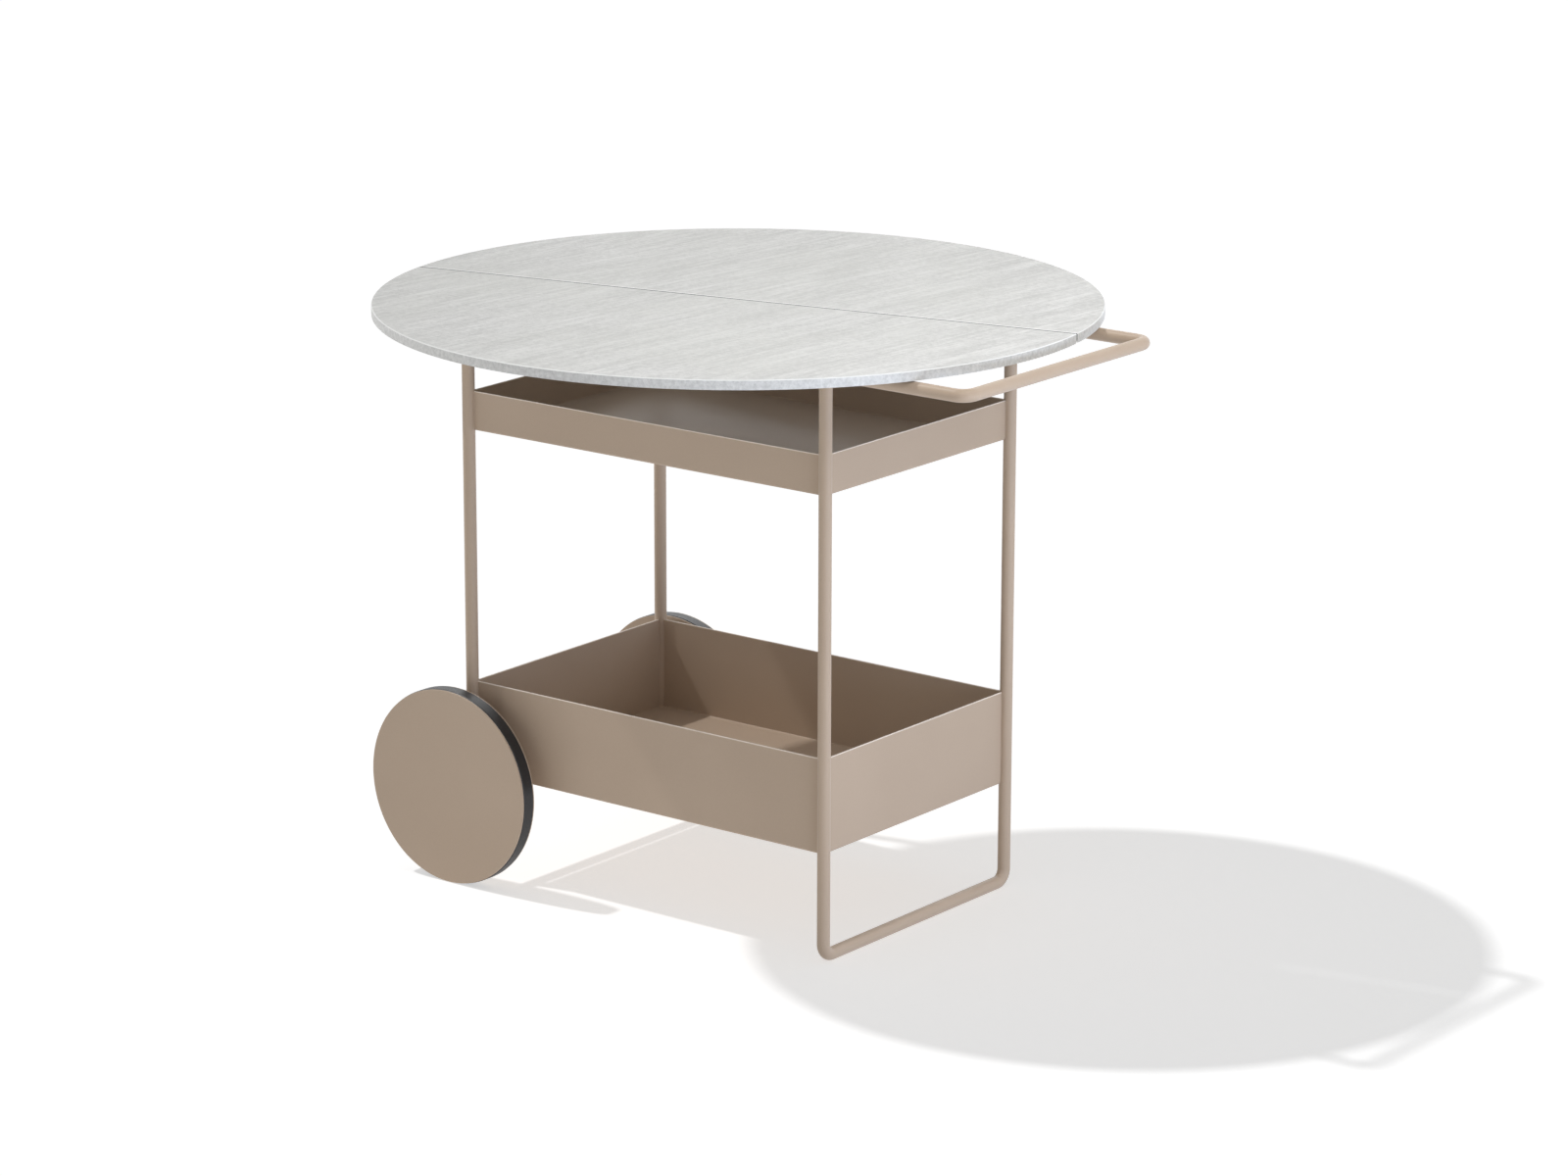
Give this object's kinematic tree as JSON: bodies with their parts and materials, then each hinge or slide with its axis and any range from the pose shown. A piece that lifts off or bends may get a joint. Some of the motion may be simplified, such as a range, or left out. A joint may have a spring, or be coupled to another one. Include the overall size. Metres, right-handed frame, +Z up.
{
  "type": "room service table",
  "caption": "Wheeled room service table with a swivelling round top whose front leaf folds over, two deep metal trays, bent-tube frame and a push handle.",
  "frame": {"origin": "on the floor, under the middle of the overall length and between the front and back legs", "axes": "+X along the length towards the handle, +Y to the back, +Z up"},
  "size_m": [0.938, 0.8998, 0.75],
  "materials": {
    "powder_coat": "satin fine-textured taupe powder coat on steel",
    "leaf_laminate": "compact laminate, honed pale grey stone pattern with fine streaks",
    "tyre_rubber": "smooth semi-matt black solid tyre",
    "core_plastic": "moulded dark grey",
    "bearing_plastic": "natural acetal",
    "bright_steel": "ground and oiled",
    "hinge_steel": "zinc plated",
    "screw_steel": "zinc plated"
  },
  "bodies": {
    "frame": {"frame_tube": "powder_coat", "sled_tube": "powder_coat", "upper_tray": "powder_coat", "lower_tray": "powder_coat", "axle_tube": "powder_coat", "axle_rod": "bright_steel", "axle_collars": "bright_steel", "axle_washers": "screw_steel", "axle_screws": "screw_steel", "swivel_bridge": "powder_coat", "pivot_bush": "bearing_plastic", "glide_ring": "bearing_plastic", "rail_glides": "bearing_plastic"},
    "back_leaf": {"leaf_back": "leaf_laminate", "swivel_plate": "hinge_steel", "swivel_plate_screws": "screw_steel", "pivot_washer": "screw_steel", "pivot_nut": "screw_steel", "hinge_brackets_back": "hinge_steel", "hinge_pins_back": "bright_steel", "bracket_screws_back": "screw_steel"},
    "hinge_links": {"hinge_links": "hinge_steel"},
    "front_leaf": {"leaf_front": "leaf_laminate", "hinge_brackets_front": "hinge_steel", "hinge_pins_front": "bright_steel", "bracket_screws_front": "screw_steel"},
    "wheel_front": {"wheel_front_tyre": "tyre_rubber", "wheel_front_core": "core_plastic", "wheel_front_cover_outer": "powder_coat", "wheel_front_cover_inner": "powder_coat", "wheel_front_bushes": "bearing_plastic"},
    "wheel_back": {"wheel_back_tyre": "tyre_rubber", "wheel_back_core": "core_plastic", "wheel_back_cover_outer": "powder_coat", "wheel_back_cover_inner": "powder_coat", "wheel_back_bushes": "bearing_plastic"}
  },
  "joints": [
    {"name": "top_swivel", "type": "hinge", "parent": "frame", "child": "back_leaf", "pos_m": [-0.019, 0, 0.738], "axis": [0, 0, 1], "continuous": true},
    {"name": "hinge_link_pivot", "type": "hinge", "parent": "back_leaf", "child": "hinge_links", "pos_m": [-0.02, 0.0047, 0.7462], "axis": [-0.9781, -0.2079, 0], "range_deg": [0, 90]},
    {"name": "leaf_fold", "type": "hinge", "parent": "hinge_links", "child": "front_leaf", "pos_m": [-0.018, -0.0047, 0.7462], "axis": [-0.9781, -0.2079, 0], "range_deg": [0, 90]},
    {"name": "wheel_front_spin", "type": "hinge", "parent": "frame", "child": "wheel_front", "pos_m": [-0.3005, -0.2238, 0.126], "axis": [0, 1, 0], "continuous": true},
    {"name": "wheel_back_spin", "type": "hinge", "parent": "frame", "child": "wheel_back", "pos_m": [-0.3005, 0.2238, 0.126], "axis": [0, 1, 0], "continuous": true}
  ]
}
